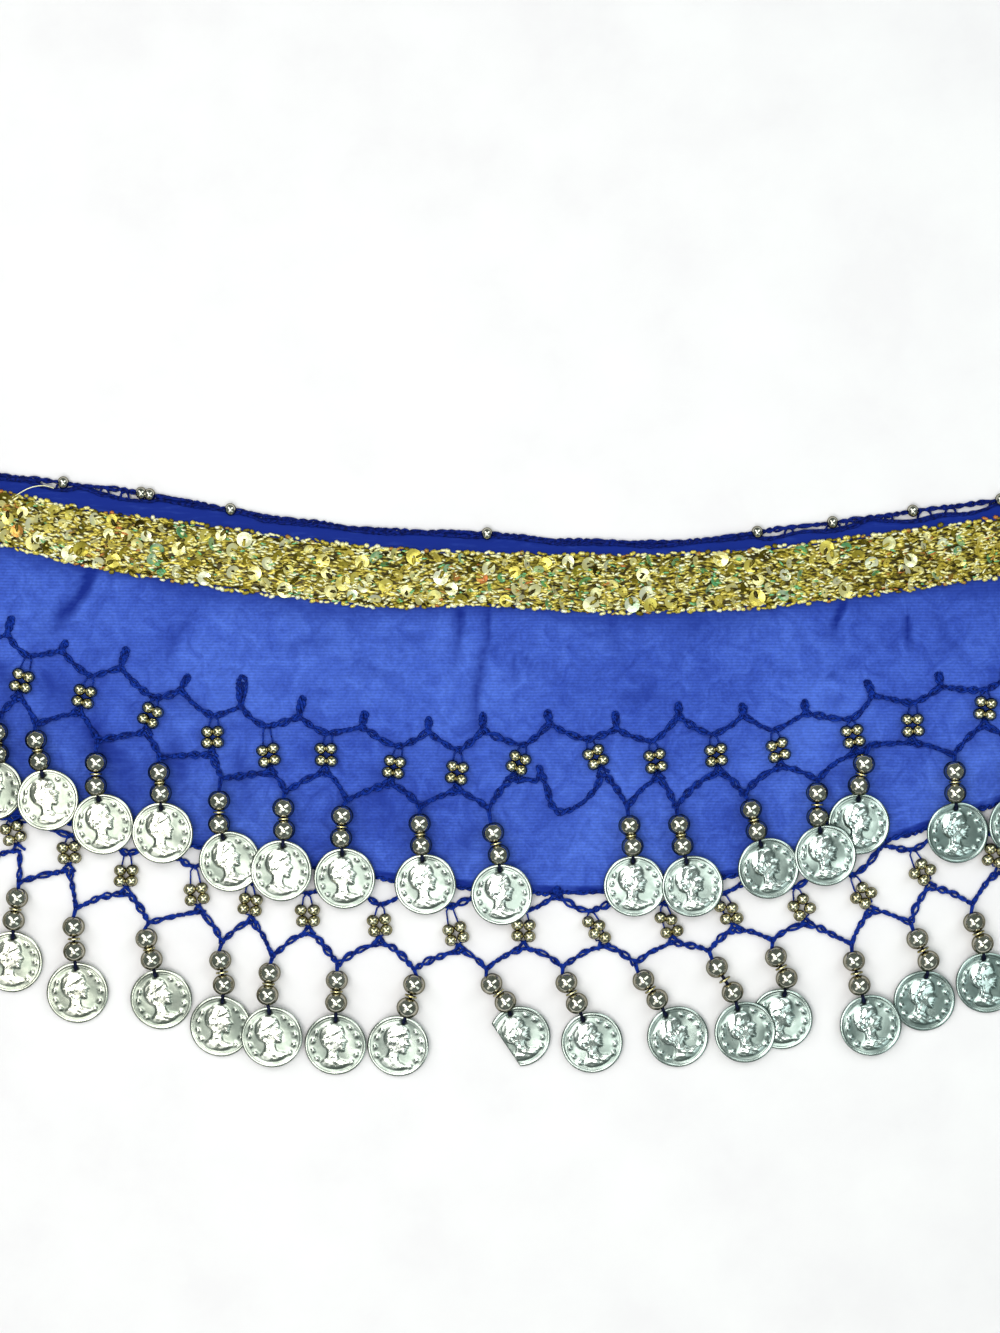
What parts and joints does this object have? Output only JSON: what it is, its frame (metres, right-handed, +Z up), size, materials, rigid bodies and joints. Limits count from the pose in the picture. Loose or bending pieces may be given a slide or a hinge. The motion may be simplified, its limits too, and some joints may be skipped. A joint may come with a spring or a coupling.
{
  "type": "pet coin hip scarf",
  "caption": "Crescent hip scarf of sheer cloth for a pet, laid flat, with a sequin band under the waist and two crocheted net fringes that carry beads and coins.",
  "frame": {"origin": "on the flat underside of the cloth, near the middle of the panel between waist edge and hem", "axes": "+X along the scarf from tie end to tie end, +Y from hem to waist edge, +Z up off the surface it lies on"},
  "size_m": [0.625, 0.2162, 0.008],
  "materials": {
    "chiffon": "sheer royal-blue chiffon with a soft sheen",
    "sequin": "gold holographic sequins, metallised film",
    "crochet_thread": "dark blue twisted crochet thread",
    "coin": "stamped, bright, with tarnish in the hollows",
    "bead": "polished champagne-grey metallised beads",
    "seed_bead": "pale gold metallic seed beads"
  },
  "bodies": {
    "root": {"chiffon_panel": "chiffon", "sequin_band": "sequin", "waist_edging": "crochet_thread", "upper_net": "crochet_thread", "lower_net": "crochet_thread", "upper_drop_01": "coin", "upper_drop_02": "coin", "upper_drop_03": "coin", "upper_drop_04": "coin", "upper_drop_05": "coin", "upper_drop_06": "coin", "upper_drop_07": "coin", "upper_drop_08": "coin", "upper_drop_09": "coin", "upper_drop_10": "coin", "upper_drop_11": "coin", "upper_drop_12": "coin", "upper_drop_14": "coin", "upper_drop_15": "coin", "upper_drop_16": "coin", "upper_drop_17": "coin", "upper_drop_18": "coin", "upper_drop_19": "coin", "upper_drop_20": "coin", "upper_drop_21": "coin", "upper_drop_22": "coin", "upper_drop_23": "coin", "lower_drop_01": "coin", "lower_drop_02": "coin", "lower_drop_03": "coin", "lower_drop_04": "coin", "lower_drop_05": "coin", "lower_drop_06": "coin", "lower_drop_07": "coin", "lower_drop_08": "coin", "lower_drop_09": "coin", "lower_drop_10": "coin", "lower_drop_11": "coin", "lower_drop_12": "coin", "lower_drop_13": "coin", "lower_drop_14": "coin", "lower_drop_15": "coin", "lower_drop_16": "coin", "lower_drop_17": "coin", "lower_drop_18": "coin", "lower_drop_19": "coin", "lower_drop_20": "coin", "lower_drop_21": "coin", "lower_drop_22": "coin", "lower_drop_23": "coin", "lower_drop_24": "coin"}
  },
  "joints": []
}
